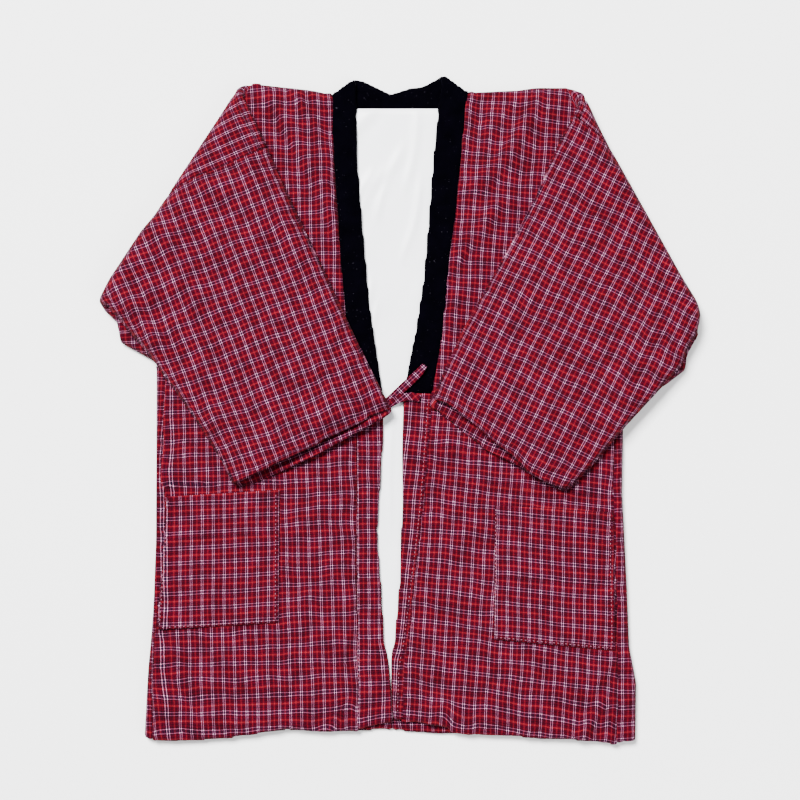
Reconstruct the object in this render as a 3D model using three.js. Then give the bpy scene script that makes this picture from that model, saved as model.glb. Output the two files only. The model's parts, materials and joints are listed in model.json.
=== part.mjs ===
// A padded hanten jacket laid flat on its back, front up, its sleeves turned over the fronts.
// Millimetres, +Z up. The floor is z = 0, +Y runs from the hem to the collar.
// Right and left are the wearer's, so the right side has negative x.

import * as THREE from 'three';
import { mergeVertices, mergeGeometries } from 'three/addons/utils/BufferGeometryUtils.js';

// Heights of the stack, from the floor up
const CLOTH = 7; // padded cloth: outer cloth, wadding and lining together
const SEAM = 0.3; // between two pieces at a seam
const ARMHOLE_SEAM = { back: 0.9, seam: 3 }; // at the armhole, where the crease crowds the front in
const SHOULDER_GAP = 1.4; // between the back and the front that turns over the shoulder
const LINING = 1;
const LINING_Z = CLOTH + SEAM;
const FRONT_Z = LINING_Z + LINING + SEAM; // underside of the fronts
const TOP_Z = FRONT_Z + CLOTH;
const TURN = TOP_Z / 2; // outer radius where cloth turns over an edge
const FOLD_Z = TOP_Z + 0.5; // height of the axis that a sleeve is folded over
const EDGE = 2.4; // rounding of a cloth edge
const POCKET = 2.5;
const TIE = 2.4;

// The crease of each turned-over sleeve, from the shoulder down to the underarm
const CREASE = {
  right: { x0: -206, y0: 409, x1: -381, y1: 144, side: -1 },
  left: { x0: 231, y0: 402, x1: 382, y1: 131, side: 1 },
};

// Shoulder fold, front to back: its y at each x
const SHOULDER = {
  right: [
    { x: -330, y: 421 }, { x: -256, y: 420 }, { x: -206, y: 409 }, { x: -187, y: 408 },
    { x: -87, y: 397 },
  ],
  left: [{ x: 84, y: 402 }, { x: 150, y: 405 }, { x: 231, y: 405 }, { x: 300, y: 404 }],
};

// Sleeves laid out flat: ends of each crosswise line at the top fold and at the underarm seam
const SLEEVE = {
  right: [
    { xTop: -309, top: 421, xUnder: -309, under: 58 },
    { xTop: -345, top: 421, xUnder: -357, under: 84 },
    { xTop: -376, top: 422, xUnder: -362, under: 110 },
    { xTop: -425, top: 424, xUnder: -410, under: 156 },
    { xTop: -500, top: 427, xUnder: -500, under: 184 },
    { xTop: -585, top: 430, xUnder: -585, under: 202 },
    { xTop: -650, top: 434, xUnder: -650, under: 213 },
    { xTop: -672, top: 436, xUnder: -684, under: 214 },
  ],
  left: [
    { xTop: 282, top: 404, xUnder: 282, under: 12 },
    { xTop: 316, top: 403, xUnder: 335, under: 29 },
    { xTop: 350, top: 398, xUnder: 360, under: 48 },
    { xTop: 396, top: 391, xUnder: 396, under: 126 },
    { xTop: 475, top: 386, xUnder: 470, under: 121 },
    { xTop: 579, top: 382, xUnder: 578, under: 142 },
    { xTop: 650, top: 373, xUnder: 650, under: 153 },
    { xTop: 680, top: 368, xUnder: 688, under: 163 },
  ],
};
const MOUTH = { lift: 9, reach: 70, step: 8 }; // upper layer lifted at the cuff, lower one longer

// Sides: seam of front and gusset, fold edge of the gusset, seam of gusset and back
const SIDE = {
  right: [
    { y: 54, seam: -300, edge: -311, back: -300 },
    { y: -55, seam: -298, edge: -309, back: -299 },
    { y: -165, seam: -294, edge: -304, back: -297 },
    { y: -243, seam: -300, edge: -310, back: -295 },
    { y: -330, seam: -310, edge: -320, back: -293 },
    { y: -418, seam: -316, edge: -326, back: -291 },
  ],
  left: [
    { y: 8, seam: 272, edge: 283, back: 271 },
    { y: -107, seam: 271, edge: 281, back: 271 },
    { y: -226, seam: 275, edge: 287, back: 272 },
    { y: -303, seam: 276, edge: 290, back: 273 },
    { y: -350, seam: 276, edge: 299, back: 274 },
    { y: -422, seam: 275, edge: 298, back: 275 },
  ],
};

// Collar strip down each front: seam with the front, and free edge
const STRIP = {
  right: [
    { y: 397, seam: -87, free: -58 }, { y: 320, seam: -87, free: -56 },
    { y: 231, seam: -81, free: -49 }, { y: 131, seam: -72, free: -40 },
    { y: 19, seam: -60, free: -24 }, { y: -38, seam: -56, free: -23 },
    { y: -155, seam: -56, free: -30 }, { y: -232, seam: -56, free: -23 },
    { y: -324, seam: -55, free: -17 }, { y: -398, seam: -55, free: -12 },
  ],
  left: [
    { y: 402, seam: 84, free: 53 }, { y: 329, seam: 78, free: 45 },
    { y: 248, seam: 70, free: 38 }, { y: 166, seam: 59, free: 31 },
    { y: 95, seam: 53, free: 21 }, { y: 19, seam: 39, free: 4 },
    { y: -119, seam: 29, free: 4 }, { y: -217, seam: 18, free: 1 },
    { y: -330, seam: 6, free: -8 }, { y: -395, seam: 3, free: -9 },
  ],
};
const VELVET_END = 19;
const COLLAR_TOP = { right: { rise: 20 }, left: { rise: 21 } }; // how much higher its free edge ends
const STRIP_EDGE = 2.8;
const COLLAR_BACK = [
  { x: -81, low: 380, high: 399 }, { x: -60, low: 379, high: 416 }, { x: -50, low: 379, high: 416 },
  { x: -36, low: 379, high: 409 }, { x: -13, low: 379, high: 398 }, { x: 9, low: 379, high: 405 },
  { x: 30, low: 379, high: 409 }, { x: 48, low: 379, high: 419 }, { x: 54, low: 379, high: 422 },
  { x: 78, low: 380, high: 403 },
];
const NECK = { right: -83, left: 80, y: 378.5 }; // back neckline, sewn to the collar
const BACK_SEAM = -12.7; // x of the seam down the middle of the back

// Hems of the fronts and of the back
const HEM = [
  { x: -316, front: -418, back: -421 }, { x: -249, front: -416, back: -416 },
  { x: -191, front: -409, back: -415 }, { x: -135, front: -401, back: -409 },
  { x: -72, front: -403, back: -412 }, { x: -55, front: -400, back: -411 },
  { x: 3, front: -396, back: -409 }, { x: 45, front: -402, back: -415 },
  { x: 98, front: -409, back: -412 }, { x: 189, front: -414, back: -416 },
  { x: 256, front: -418, back: -419 }, { x: 275, front: -421, back: -424 },
];

const POCKETS = {
  right: {
    topOuter: { x: -293, y: -112 }, topInner: { x: -155, y: -103 },
    bottomOuter: { x: -300, y: -281 }, bottomInner: { x: -156, y: -272 },
  },
  left: {
    topOuter: { x: 269, y: -132 }, topInner: { x: 119, y: -123 },
    bottomOuter: { x: 272, y: -308 }, bottomInner: { x: 118, y: -293 },
  },
};
const POCKET_GAPE = { lift: 1.8, reach: 30 }; // lift of a pocket's open top

const LINING_EDGE = [
  { y: 377, left: 96, right: -100 }, { y: 200, left: 80, right: -92 },
  { y: 20, left: 46, right: -64 }, { y: -200, left: 34, right: -60 },
  { y: -404, left: 20, right: -48 },
];

// Ties as flat straps: centre line and width
const TIES = {
  right: [
    { x: -19, y: 6, z: 13, width: 11 }, { x: -9, y: 15.5, z: 14.9, width: 11 },
    { x: 1, y: 25, z: 17.4, width: 11 }, { x: 15, y: 38, z: 17.4, width: 11 },
    { x: 24, y: 47, z: 17.4, width: 10 }, { x: 30, y: 55, z: 17.4, width: 7 },
  ],
  left: [
    { x: 23, y: 16, z: 17.4, width: 10 }, { x: 12, y: 15, z: 17.4, width: 10 },
    { x: 3, y: 9, z: 17.4, width: 10 }, { x: -5, y: 1, z: 15.6, width: 10 },
    { x: -12, y: -9, z: 12, width: 10 }, { x: -16, y: -17, z: 10.4, width: 9 },
  ],
};

// Where the turned-over sleeve ends on the front: its cuff's ends
const SLEEVE_OVER = {
  right: { tip: { x: -13, y: 8 }, corner: { x: -215, y: -104 } },
  left: { tip: { x: 37, y: 8 }, corner: { x: 207, y: -106 } },
};

// Soft ridges in the fronts: middle, direction in degrees, half length, half width and height
const RIDGES = {
  right: [
    { x: -128, y: 340, turn: -52, along: 70, across: 20, height: 4.5 },
    { x: -112, y: 262, turn: -58, along: 60, across: 20, height: 3.5 },
  ],
  left: [
    { x: 135, y: 345, turn: 48, along: 70, across: 20, height: 4.5 },
    { x: 105, y: 255, turn: 56, along: 60, across: 20, height: 3.5 },
    { x: 215, y: -90, turn: -10, along: 60, across: 20, height: 3 },
    { x: 80, y: -50, turn: -20, along: 45, across: 20, height: 3.5 },
  ],
};
const BEND_STEPS = 5;
const GRID = 32; // spacing of the points that carry the ridges

const COLOURS = {
  plaid: new THREE.MeshStandardMaterial({ color: 0x8e2440, roughness: 0.9, metalness: 0 }),
  velvet: new THREE.MeshStandardMaterial({ color: 0x0b0d14, roughness: 0.95, metalness: 0 }),
  lining: new THREE.MeshStandardMaterial({ color: 0xf1f1f3, roughness: 0.5, metalness: 0 }),
};

// Value of a column between the rows of a table
function between(rows, key, at, column) {
  const sorted = [...rows].sort((a, b) => a[key] - b[key]);
  const last = sorted.length - 1;
  if (at <= sorted[0][key]) return sorted[0][column];
  if (at >= sorted[last][key]) return sorted[last][column];
  const i = sorted.findIndex((row) => row[key] > at);
  const [a, b] = [sorted[i - 1], sorted[i]];
  return THREE.MathUtils.mapLinear(at, a[key], b[key], a[column], b[column]);
}

function steps(from, to, size) {
  const count = Math.max(1, Math.round(Math.abs(to - from) / size));
  return Array.from({ length: count + 1 }, (_, i) => THREE.MathUtils.lerp(from, to, i / count));
}

function merged(geometry) {
  const plain = new THREE.BufferGeometry();
  plain.setAttribute('position', geometry.getAttribute('position').clone());
  if (geometry.index) plain.setIndex(geometry.index.clone());
  return mergeVertices(plain, 1e-3);
}

// A piece of cloth on a grid of points: point(s, t) gives the plan, the s and t lists its lines
function cloth(point, sLines, tLines, low, high, edge = EDGE) {
  const [m, n] = [sLines.length, tLines.length];
  const plan = sLines.map((s) => tLines.map((t) => point(s, t)));
  const inner = (i, j) => {
    const p = plan[i][j];
    const q = plan[THREE.MathUtils.clamp(i, 1, m - 2)][THREE.MathUtils.clamp(j, 1, n - 2)];
    const length = Math.hypot(q.x - p.x, q.y - p.y) || 1;
    return { x: p.x + ((q.x - p.x) * edge) / length, y: p.y + ((q.y - p.y) * edge) / length };
  };
  const positions = [];
  for (const z of [low, high]) {
    for (let i = 0; i < m; i += 1) {
      for (let j = 0; j < n; j += 1) positions.push(inner(i, j).x, inner(i, j).y, z);
    }
  }
  const index = [];
  const at = (i, j) => i * n + j;
  for (let i = 0; i + 1 < m; i += 1) {
    for (let j = 0; j + 1 < n; j += 1) {
      const [a, b, c, d] = [at(i, j), at(i + 1, j), at(i + 1, j + 1), at(i, j + 1)];
      index.push(a, c, b, a, d, c);
      index.push(...[a, b, c, a, c, d].map((k) => k + m * n));
    }
  }
  const rim = [];
  for (let i = 0; i + 1 < m; i += 1) rim.push([i, 0]);
  for (let j = 0; j + 1 < n; j += 1) rim.push([m - 1, j]);
  for (let i = m - 1; i > 0; i -= 1) rim.push([i, n - 1]);
  for (let j = n - 1; j > 0; j -= 1) rim.push([0, j]);
  for (const z of [low + edge, high - edge]) {
    for (const [i, j] of rim) positions.push(plan[i][j].x, plan[i][j].y, z);
  }
  rim.forEach(([i, j], k) => {
    const next = (k + 1) % rim.length;
    const [i2, j2] = rim[next];
    const start = 2 * m * n;
    const lines = [
      [at(i, j), at(i2, j2)], [start + k, start + next],
      [start + rim.length + k, start + rim.length + next], [at(i, j) + m * n, at(i2, j2) + m * n],
    ];
    for (let line = 0; line < 3; line += 1) {
      const [[a, b], [d, c]] = [lines[line], lines[line + 1]];
      index.push(a, b, c, a, c, d);
    }
  });
  const geometry = new THREE.BufferGeometry();
  geometry.setAttribute('position', new THREE.Float32BufferAttribute(positions, 3));
  geometry.setIndex(index);
  return facingOut(geometry);
}

// The same solid with its triangles cut along straight lines, seen from above,
// so that it can bend there. The lines are normal . point = offset.
function sliced(geometry, normal, offsets) {
  let triangles = geometry.toNonIndexed().getAttribute('position').array;
  for (const offset of offsets) {
    const out = [];
    for (let i = 0; i < triangles.length; i += 9) {
      const corners = [0, 3, 6].map((k) => new THREE.Vector3().fromArray(triangles, i + k));
      const heights = corners.map((p) => {
        const height = p.x * normal.x + p.y * normal.y - offset;
        return Math.abs(height) < 1e-3 ? 0 : height;
      });
      const parts = { above: [], below: [] };
      corners.forEach((p, k) => {
        const q = corners[(k + 1) % 3];
        const [a, b] = [heights[k], heights[(k + 1) % 3]];
        if (a >= 0) parts.above.push(p);
        if (a <= 0) parts.below.push(p);
        if (a * b < 0) {
          const crossing = a < 0 ? p.clone().lerp(q, a / (a - b)) : q.clone().lerp(p, b / (b - a));
          parts.above.push(crossing);
          parts.below.push(crossing);
        }
      });
      const isUpright = heights.every((height) => height === 0);
      const kept = isUpright ? [parts.above] : [
        heights.some((height) => height > 0) ? parts.above : [],
        heights.some((height) => height < 0) ? parts.below : [],
      ];
      for (const part of kept) {
        for (let k = 2; k < part.length; k += 1) {
          for (const p of [part[0], part[k - 1], part[k]]) out.push(p.x, p.y, p.z);
        }
      }
    }
    triangles = out;
  }
  const result = new THREE.BufferGeometry();
  result.setAttribute('position', new THREE.Float32BufferAttribute(triangles, 3));
  return merged(result);
}

// Moves each point of a solid
function moved(geometry, move) {
  const position = geometry.getAttribute('position');
  const point = new THREE.Vector3();
  for (let i = 0; i < position.count; i += 1) {
    point.fromBufferAttribute(position, i);
    move(point);
    position.setXYZ(i, point.x, point.y, point.z);
  }
  return geometry;
}

// Skin over a row of rings with equal numbers of points; a cap closes its ends
function skin(rings, capped) {
  const count = rings[0].length;
  const positions = rings.flat().flatMap((p) => [p.x, p.y, p.z]);
  const index = [];
  for (let r = 0; r + 1 < rings.length; r += 1) {
    for (let k = 0; k < count; k += 1) {
      const a = r * count + k;
      const b = r * count + ((k + 1) % count);
      index.push(a, b, b + count, a, b + count, a + count);
    }
  }
  if (capped) {
    const flat = capped(rings[0]);
    const isReversed = THREE.ShapeUtils.isClockWise(flat);
    const end = (rings.length - 1) * count;
    for (const face of THREE.ShapeUtils.triangulateShape(flat, [])) {
      const [a, b, c] = isReversed ? [...face].reverse() : face;
      index.push(a, c, b, end + a, end + b, end + c);
    }
  }
  const geometry = new THREE.BufferGeometry();
  geometry.setAttribute('position', new THREE.Float32BufferAttribute(positions, 3));
  geometry.setIndex(index);
  return geometry;
}

// Signed volume, used to turn a solid's faces outwards
function volume(geometry) {
  const p = geometry.toNonIndexed().getAttribute('position');
  const [a, b, c] = [new THREE.Vector3(), new THREE.Vector3(), new THREE.Vector3()];
  let sum = 0;
  for (let i = 0; i < p.count; i += 3) {
    a.fromBufferAttribute(p, i);
    b.fromBufferAttribute(p, i + 1);
    c.fromBufferAttribute(p, i + 2);
    sum += a.dot(b.cross(c)) / 6;
  }
  return sum;
}

function facingOut(geometry) {
  if (volume(geometry) > 0) return geometry;
  const index = geometry.index.array;
  for (let i = 0; i < index.length; i += 3) [index[i + 1], index[i + 2]] = [index[i + 2], index[i + 1]];
  return geometry;
}

// Direction of a crease, its outward normal and the distance of its bending axis along that normal
function creaseFrame({ x0, y0, x1, y1, side }) {
  const along = new THREE.Vector2(x1 - x0, y1 - y0).normalize();
  const normal = new THREE.Vector2(-along.y, along.x);
  if (normal.x * side < 0) normal.negate();
  return { normal, axis: normal.x * x0 + normal.y * y0 - FOLD_Z };
}

// Folds everything beyond the crease back over the garment, in flat steps round the bend
function folded(geometry, crease) {
  const { normal, axis } = creaseFrame(crease);
  const bend = Math.PI * FOLD_Z;
  const step = bend / BEND_STEPS;
  const cuts = steps(0, bend, step).map((s) => axis + s);
  return moved(sliced(geometry, normal, cuts), (p) => {
    const beyond = p.x * normal.x + p.y * normal.y - axis;
    if (beyond <= 0) return;
    const radius = FOLD_Z - p.z;
    const at = (turn) => ({ reach: radius * Math.sin(turn), z: FOLD_Z - radius * Math.cos(turn) });
    const i = Math.min(Math.floor(beyond / step), BEND_STEPS);
    const share = i === BEND_STEPS ? 0 : beyond / step - i;
    const [a, b] = [at((i * Math.PI) / BEND_STEPS), at(((i + 1) * Math.PI) / BEND_STEPS)];
    const out = THREE.MathUtils.lerp(a.reach, b.reach, share) - Math.max(beyond - bend, 0) - beyond;
    p.x += out * normal.x;
    p.y += out * normal.y;
    p.z = THREE.MathUtils.lerp(a.z, b.z, share);
  });
}

// Rows of points up the body cloth, which are stretched to the real hem and shoulder near the ends
const LOWEST = -400;
const HIGHEST = 395;
const STRETCH = 150;

function bodyRows(side) {
  const armhole = ARMHOLE[side].under;
  const fixed = [LOWEST, armhole - 2, armhole + 2, HIGHEST];
  for (const { y } of [...SIDE[side], ...STRIP[side]]) {
    const isFree = fixed.every((other) => Math.abs(other - y) > GRID / 3);
    if (isFree && y > LOWEST && y < HIGHEST) fixed.push(y);
  }
  fixed.sort((a, b) => a - b);
  return [LOWEST, ...fixed.slice(1).flatMap((y, i) => steps(fixed[i], y, GRID).slice(1))];
}

function stretched(y, hem, top) {
  const down = Math.max(0, 1 - (y - LOWEST) / STRETCH);
  const up = THREE.MathUtils.clamp(1 - (HIGHEST - y) / STRETCH, 0, 1);
  return y + (hem - LOWEST) * down + (top - HIGHEST) * up;
}

const shoulderY = (side, x) => between(SHOULDER[side], 'x', x, 'y') - TURN;

// How far a point of the front lies clear of the sleeve that is turned over it, from 0 to 1
function uncovered(side, x, y) {
  const { x0, y0 } = CREASE[side];
  const { tip, corner } = SLEEVE_OVER[side];
  const sign = CREASE[side].side;
  const distance = (a, b) => {
    const length = Math.hypot(b.x - a.x, b.y - a.y);
    return (sign * ((x - a.x) * (b.y - a.y) - (y - a.y) * (b.x - a.x))) / length;
  };
  const clear = Math.max(distance({ x: x0, y: y0 }, tip), distance(tip, corner));
  return THREE.MathUtils.smoothstep(clear, 16, 48);
}

// Height of the soft ridges of one front at a point
function ridgeAt(side, x, y) {
  return RIDGES[side].reduce((sum, row) => {
    const turn = THREE.MathUtils.degToRad(row.turn);
    const along = (x - row.x) * Math.cos(turn) + (y - row.y) * Math.sin(turn);
    const across = (y - row.y) * Math.cos(turn) - (x - row.x) * Math.sin(turn);
    return sum + row.height * Math.exp(-((along / row.along) ** 2) - (across / row.across) ** 2);
  }, 0) * uncovered(side, x, y);
}

const ARMHOLE = { right: SLEEVE.right[0], left: SLEEVE.left[0] };

// The side edge of a front or back: the armhole above, the gusset seam below
function sideX(side, y, column) {
  const sign = CREASE[side].side;
  const { xTop, under } = ARMHOLE[side];
  if (y > under) return xTop - sign * ARMHOLE_SEAM[column];
  return between(SIDE[side], 'y', y, column) - sign * SEAM;
}

// Front: from the side edge to the collar strip, from the hem to the shoulder and over it
function front(side) {
  const gap = CREASE[side].side * SEAM;
  const over = Math.PI * TURN;
  const point = (s, y) => {
    const seamX = between(STRIP[side], 'y', y, 'seam') + gap;
    const x = THREE.MathUtils.lerp(sideX(side, y, 'seam'), seamX, s);
    const top = shoulderY(side, x);
    const hem = between(HEM, 'x', x, 'front');
    return { x, y: stretched(y, hem, top) };
  };
  const rows = [...bodyRows(side), ...steps(HIGHEST, HIGHEST + over, 5).slice(1)];
  const across = steps(0, 1, 1 / 8);
  const geometry = moved(cloth(point, across, rows, FRONT_Z, TOP_Z), (p) => {
    const base = shoulderY(side, p.x);
    const beyond = Math.max(p.y - base, 0);
    const radius = p.z - TURN;
    const angle = beyond / TURN;
    p.y += radius * Math.sin(angle) - beyond;
    p.z = TURN + radius * Math.cos(angle);
    if (beyond === 0) p.z += ridgeAt(side, p.x, p.y);
  });
  return folded(geometry, CREASE[side]);
}

// Back: from the middle seam to the side edge, from the hem to the shoulder or the neckline
function back(side) {
  const sign = CREASE[side].side;
  const centre = BACK_SEAM + (sign * SEAM) / 2;
  const point = (x, row) => {
    const isInNeck = (NECK[side] + sign * SEAM - x) * sign > 0;
    const top = isInNeck ? NECK.y : shoulderY(side, x) - SHOULDER_GAP;
    const y = stretched(row, between(HEM, 'x', x, 'back'), top);
    const limit = sideX(side, y, 'back');
    return { x: sign > 0 ? Math.min(x, limit) : Math.max(x, limit), y };
  };
  const neck = NECK[side];
  const wide = ARMHOLE[side].xTop;
  const lines = [...steps(centre, neck, 36), ...steps(neck + sign, wide - sign * 32, 56), wide];
  const rows = bodyRows(side).filter((y, i, all) => i % 2 === 0 || i === all.length - 1
    || Math.abs(y - ARMHOLE[side].under) < 3);
  return folded(cloth(point, lines, rows, 0, CLOTH), CREASE[side]);
}

// Outer and inner loop of a flattened tube across one line of the sleeve
function sleeveLoop(row, inset, across) {
  const loop = [];
  const middle = TURN;
  const radius = TURN - inset;
  const lerp = (t, z) => ({
    x: THREE.MathUtils.lerp(row.xUnder, row.xTop, t),
    y: THREE.MathUtils.lerp(row.under + TURN, row.top - TURN, t),
    z,
  });
  for (const t of across) loop.push(lerp(t, middle - radius));
  for (const angle of [-45, 0, 45]) {
    const turn = THREE.MathUtils.degToRad(angle);
    const p = lerp(1, middle + radius * Math.sin(turn));
    loop.push({ ...p, y: p.y + radius * Math.cos(turn) });
  }
  for (const t of [...across].reverse()) loop.push(lerp(t, middle + radius));
  for (const angle of [45, 0, -45]) {
    const turn = THREE.MathUtils.degToRad(angle);
    const p = lerp(0, middle + radius * Math.sin(turn));
    loop.push({ ...p, y: p.y - radius * Math.cos(turn) });
  }
  return loop;
}

function sleeve(side) {
  const sign = CREASE[side].side;
  const rows = SLEEVE[side];
  const across = [0, 0.25, 0.5, 0.75, 1];
  const outer = rows.map((row) => sleeveLoop(row, 0, across));
  const inner = rows.map((row) => sleeveLoop(row, CLOTH, across));
  const armhole = [CLOTH, CLOTH - EDGE, EDGE, 0].map((inset) => sleeveLoop(rows[0], inset, across));
  const cuffEdge = [outer.at(-1), inner.at(-1)];
  const parts = [armhole, outer, cuffEdge, inner.reverse()].map((loops) => skin(loops));
  const geometry = merged(mergeGeometries(parts));
  const cuff = rows.at(-1);
  const isUpper = (z) => z < FRONT_Z - 0.5;
  const mouth = (p) => {
    const t = THREE.MathUtils.clamp((p.y - cuff.under) / (cuff.top - cuff.under), 0, 1);
    const distance = Math.abs(THREE.MathUtils.lerp(cuff.xUnder, cuff.xTop, t) - p.x);
    return Math.sin(Math.PI * t) * Math.exp(-((distance / MOUTH.reach) ** 2));
  };
  moved(geometry, (p) => {
    if (isUpper(p.z)) p.z -= MOUTH.lift * mouth(p);
    else if (Math.abs(p.x) > Math.abs(cuff.xTop) - 1) p.x += sign * MOUTH.step * mouth(p);
  });
  return folded(facingOut(geometry), CREASE[side]);
}

// Gusset: a strip folded along its outer edge, between the seams with front and back
function gusset(side) {
  const sign = CREASE[side].side;
  const rings = SIDE[side].map((row) => {
    const axis = row.edge - sign * TURN;
    const y = row.y;
    const arc = (radius, angles) => angles.map((angle) => {
      const turn = THREE.MathUtils.degToRad(angle);
      return { x: axis + sign * radius * Math.cos(turn), y, z: TURN + radius * Math.sin(turn) };
    });
    const open = [90, 60, 30, 0, -30, -60, -90];
    return [
      { x: row.seam, y, z: TOP_Z - EDGE / 2 }, ...arc(TURN, open), { x: row.back, y, z: 0 },
      { x: row.back, y, z: CLOTH }, ...arc(TURN - CLOTH, [...open].reverse()),
      { x: row.seam, y, z: FRONT_Z },
    ];
  });
  const flat = (ring) => ring.map((p) => new THREE.Vector2(p.x, p.z));
  return facingOut(merged(skin(rings, flat)));
}

// Part of the collar strip between two heights
function strip(side, high, low) {
  const rows = STRIP[side].filter((row) => row.y < high && row.y > low);
  const at = (y) => ({
    y, seam: between(STRIP[side], 'y', y, 'seam'), free: between(STRIP[side], 'y', y, 'free'),
  });
  return [at(high), ...rows, at(low)];
}

// A stretch of the collar strip; the velvet runs up to a slanted end over the shoulder
function stripPiece(side, high, low) {
  const rows = strip(side, high, low);
  const top = COLLAR_TOP[side];
  const point = (s, i) => {
    const row = rows[i];
    const lift = i === 0 && high > VELVET_END ? THREE.MathUtils.lerp(0, top.rise, s) : 0;
    return { x: THREE.MathUtils.lerp(row.seam, row.free, s), y: row.y + lift };
  };
  return cloth(point, [0, 0.33, 0.67, 1], rows.map((_, i) => i), FRONT_Z, TOP_Z, STRIP_EDGE);
}

function collarBack() {
  const point = (i, t) => {
    const row = COLLAR_BACK[i];
    return { x: row.x, y: THREE.MathUtils.lerp(row.low, row.high, t) };
  };
  return cloth(point, COLLAR_BACK.map((_, i) => i), [0, 0.33, 0.67, 1], 0, CLOTH, STRIP_EDGE);
}

function pocket(side) {
  const size = POCKETS[side];
  const point = (s, t) => ({
    x: THREE.MathUtils.lerp(THREE.MathUtils.lerp(size.bottomInner.x, size.topInner.x, t),
      THREE.MathUtils.lerp(size.bottomOuter.x, size.topOuter.x, t), s),
    y: THREE.MathUtils.lerp(THREE.MathUtils.lerp(size.bottomInner.y, size.topInner.y, t),
      THREE.MathUtils.lerp(size.bottomOuter.y, size.topOuter.y, t), s),
  });
  const low = TOP_Z + SEAM;
  const lines = [0, 0.2, 0.4, 0.6, 0.8, 0.92, 1];
  const geometry = cloth(point, steps(0, 1, 0.2), lines, low, low + POCKET, 0.8);
  const top = Math.max(size.topInner.y, size.topOuter.y);
  return moved(geometry, (p) => {
    const depth = Math.max(top - p.y, 0);
    p.z += POCKET_GAPE.lift * Math.exp(-((depth / POCKET_GAPE.reach) ** 2));
  });
}

function backLining() {
  const point = (s, i) => {
    const row = LINING_EDGE[i];
    return { x: THREE.MathUtils.lerp(row.right, row.left, s), y: row.y };
  };
  return cloth(point, [0, 0.5, 1], LINING_EDGE.map((_, i) => i), LINING_Z, LINING_Z + LINING, 0.3);
}

function tie(side) {
  const rows = TIES[side];
  const section = [
    [0.5, -0.2], [0.42, -0.5], [-0.42, -0.5], [-0.5, -0.2],
    [-0.5, 0.2], [-0.42, 0.5], [0.42, 0.5], [0.5, 0.2],
  ].map(([w, h]) => new THREE.Vector2(w, h));
  const rings = rows.map((row, i) => {
    const [a, b] = [rows[Math.max(i - 1, 0)], rows[Math.min(i + 1, rows.length - 1)]];
    const along = new THREE.Vector2(b.x - a.x, b.y - a.y).normalize();
    return section.map((p) => ({
      x: row.x - along.y * p.x * row.width,
      y: row.y + along.x * p.x * row.width,
      z: row.z + p.y * TIE,
    }));
  });
  return facingOut(merged(skin(rings, () => section)));
}

const group = new THREE.Group();
function add(name, geometry, material) {
  const mesh = new THREE.Mesh(geometry, material);
  mesh.name = name;
  group.add(mesh);
}

for (const side of ['right', 'left']) {
  add(`back_${side}`, back(side), COLOURS.plaid);
  add(`front_${side}`, front(side), COLOURS.plaid);
  add(`sleeve_${side}`, sleeve(side), COLOURS.plaid);
  add(`gusset_${side}`, gusset(side), COLOURS.plaid);
  add(`collar_${side}`, stripPiece(side, STRIP[side][0].y, VELVET_END), COLOURS.velvet);
  add(`band_${side}`, stripPiece(side, VELVET_END - SEAM, STRIP[side].at(-1).y), COLOURS.plaid);
  add(`pocket_${side}`, pocket(side), COLOURS.plaid);
  add(`tie_${side}`, tie(side), COLOURS.plaid);
}
add('collar_back', collarBack(), COLOURS.velvet);
add('back_lining', backLining(), COLOURS.lining);

export default group;
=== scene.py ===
# %% [markdown]
# # A padded hanten jacket, laid flat
#
# A hanten is a short padded house jacket. This one lies on its back on a pale surface, front up,
# with both sleeves turned in over the fronts. Only then is it folded to where it lies.

# %% Load the part's solids
import json

import bpy
import numpy as np
from mathutils.bvhtree import BVHTree
from mathutils.kdtree import KDTree
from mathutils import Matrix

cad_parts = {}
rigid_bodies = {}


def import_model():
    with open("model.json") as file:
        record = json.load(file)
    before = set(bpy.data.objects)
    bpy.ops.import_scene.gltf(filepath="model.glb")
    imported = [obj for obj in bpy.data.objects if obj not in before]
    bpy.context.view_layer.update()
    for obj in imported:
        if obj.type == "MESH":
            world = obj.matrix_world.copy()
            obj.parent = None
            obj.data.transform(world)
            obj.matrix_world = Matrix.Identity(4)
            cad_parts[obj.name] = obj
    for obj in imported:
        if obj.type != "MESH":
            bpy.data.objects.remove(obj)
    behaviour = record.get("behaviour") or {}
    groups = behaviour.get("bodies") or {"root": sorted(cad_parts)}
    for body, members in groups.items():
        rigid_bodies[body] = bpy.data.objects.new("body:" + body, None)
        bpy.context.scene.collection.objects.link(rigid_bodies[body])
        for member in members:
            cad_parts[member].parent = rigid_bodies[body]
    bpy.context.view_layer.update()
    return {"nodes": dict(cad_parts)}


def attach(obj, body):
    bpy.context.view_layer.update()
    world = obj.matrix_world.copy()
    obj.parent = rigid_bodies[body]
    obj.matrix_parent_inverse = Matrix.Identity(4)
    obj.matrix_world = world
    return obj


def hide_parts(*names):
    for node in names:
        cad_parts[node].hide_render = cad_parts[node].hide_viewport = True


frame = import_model()
SIDES = {"right": -1, "left": 1}  # the wearer's, so right has negative x

# %% [markdown]
# ## Camera, light and floor
#
# The photo looks straight down. A long lens from three metres up gives the same flat view, with
# almost no perspective. Cloth needs light that comes mostly from one side: large soft lamps
# keep the white surface even, and a stronger one from beyond the collar lets the folds and the
# thickness of the padding show: in the photo the shadows lie below the cuffs and the folds.

# %% Camera
CAMERA_HEIGHT = 3.0
FRAME_WIDTH = 1.016  # metres across the picture, at the height of the cloth
bpy.ops.object.camera_add(location=(-0.0016, 0.0107, CAMERA_HEIGHT), rotation=(0, 0, 0))
camera = bpy.context.object
camera.name = "camera"
camera.data.sensor_width = 36
camera.data.lens = 36 * (CAMERA_HEIGHT - 0.02) / FRAME_WIDTH
bpy.context.scene.camera = camera

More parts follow.
